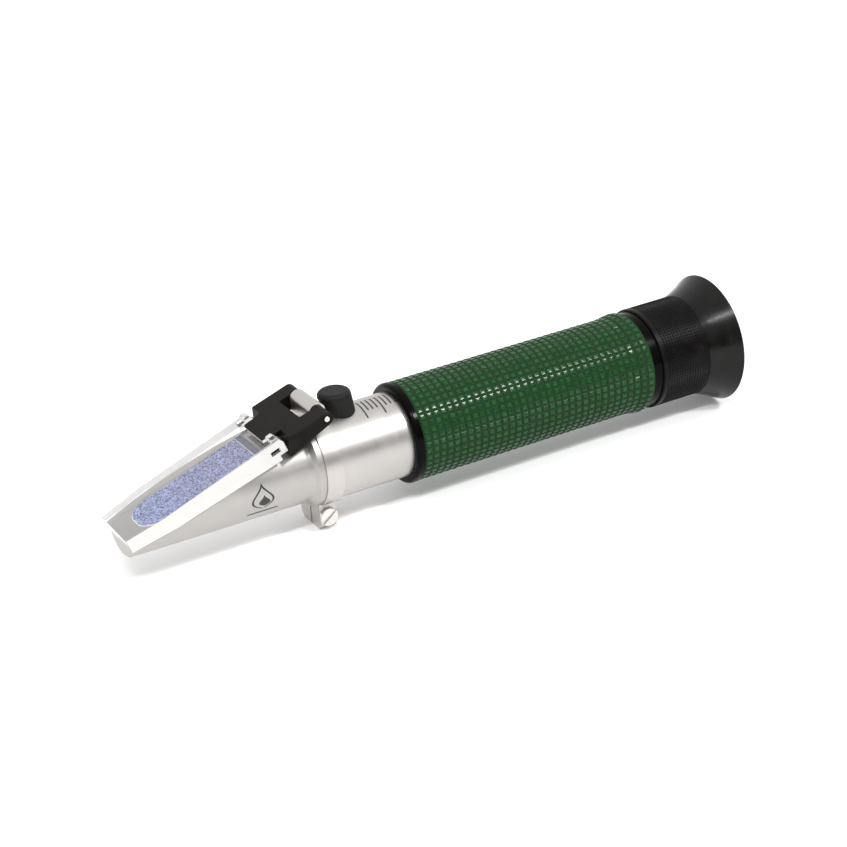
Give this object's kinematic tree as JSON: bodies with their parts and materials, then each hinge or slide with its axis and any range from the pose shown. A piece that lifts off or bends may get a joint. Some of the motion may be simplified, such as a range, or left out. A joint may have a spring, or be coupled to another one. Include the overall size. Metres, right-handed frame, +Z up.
{
  "type": "handheld refractometer",
  "caption": "Handheld brewing refractometer: sloping prism under a hinged clear daylight plate, calibration screw under a rubber cap, textured grip and turning eyepiece focus.",
  "frame": {"origin": "under the middle of the instrument, on the surface that it lies on (centre of the box's bottom)", "axes": "+X along the barrel from the prism end to the eyecup, +Z up with the daylight plate on top, +Y completes the right hand"},
  "size_m": [0.1708, 0.034, 0.034],
  "materials": {
    "nose": "satin cast aluminium",
    "tube": "satin turned aluminium",
    "clamp": "brushed aluminium",
    "screw_steel": "nickel-plated steel",
    "prism_glass": "optical glass with a blue ground back",
    "lens_glass": "polished optical glass",
    "clear_plate": "clear moulded acrylic",
    "black_metal": "black anodised",
    "black_plastic": "moulded black plastic",
    "bracket_plastic": "satin black plastic",
    "cap_rubber": "soft black rubber",
    "grip_rubber": "glossy embossed green rubber",
    "brass": "turned brass",
    "bimetal": "rolled bimetal"
  },
  "bodies": {
    "housing": {"nose_housing": "nose", "main_prism": "prism_glass", "light_baffle": "black_metal", "main_tube": "tube", "clamp_ring": "clamp", "clamp_screw": "screw_steel", "calibration_bush": "brass", "lens_mount": "black_metal", "pivot_pins": "screw_steel", "return_spring": "screw_steel", "reticle_mount": "black_metal", "scale_reticle": "lens_glass", "reticle_ring": "black_metal", "grip_sleeve": "black_plastic", "rubber_grip": "grip_rubber", "rear_bush": "black_metal"},
    "cover": {"daylight_plate": "clear_plate", "cover_bracket": "bracket_plastic", "hinge_pin": "screw_steel"},
    "cap": {"screw_cap": "cap_rubber"},
    "calibration": {"calibration_screw": "brass"},
    "objective": {"lens_cell": "black_metal", "objective_lens": "lens_glass", "objective_ring": "black_metal", "bimetal_strip": "bimetal", "strip_screws": "screw_steel"},
    "eyepiece": {"eyepiece_barrel": "black_metal", "guide_screw": "screw_steel", "field_lens": "lens_glass", "field_lens_ring": "black_metal", "eye_lens": "lens_glass", "eye_lens_ring": "black_metal"},
    "focus": {"focus_ring": "black_plastic", "barrel_retainer": "black_metal", "eyecup": "black_plastic"}
  },
  "joints": [
    {"name": "cover_hinge", "type": "hinge", "parent": "housing", "child": "cover", "pos_m": [-0.0323, 0, 0.0317], "axis": [0, 1, 0], "range_deg": [0, 100]},
    {"name": "cap_pull", "type": "slide", "parent": "housing", "child": "cap", "axis": [0, 0, 1], "range_m": [0, 0.012]},
    {"name": "calibration_turn", "type": "hinge", "parent": "housing", "child": "calibration", "pos_m": [-0.0235, 0, 0.028], "axis": [0, 0, 1], "range_deg": [-180, 180]},
    {"name": "objective_tilt", "type": "hinge", "parent": "housing", "child": "objective", "pos_m": [-0.009, 0, 0.017], "axis": [0, 1, 0], "range_deg": [-1.05, 1.05]},
    {"name": "focus_turn", "type": "hinge", "parent": "eyepiece", "child": "focus", "pos_m": [0.07, 0, 0.017], "axis": [1, 0, 0], "range_deg": [0, 481]},
    {"name": "eyepiece_slide", "type": "slide", "parent": "housing", "child": "eyepiece", "axis": [1, 0, 0], "range_m": [0, 0.004]}
  ],
  "couplings": [
    {"joint": "focus_turn", "follows": "eyepiece_slide", "rad_per_m": 2094.4},
    {"joint": "objective_tilt", "follows": "calibration_turn", "ratio": 0.0055556}
  ]
}
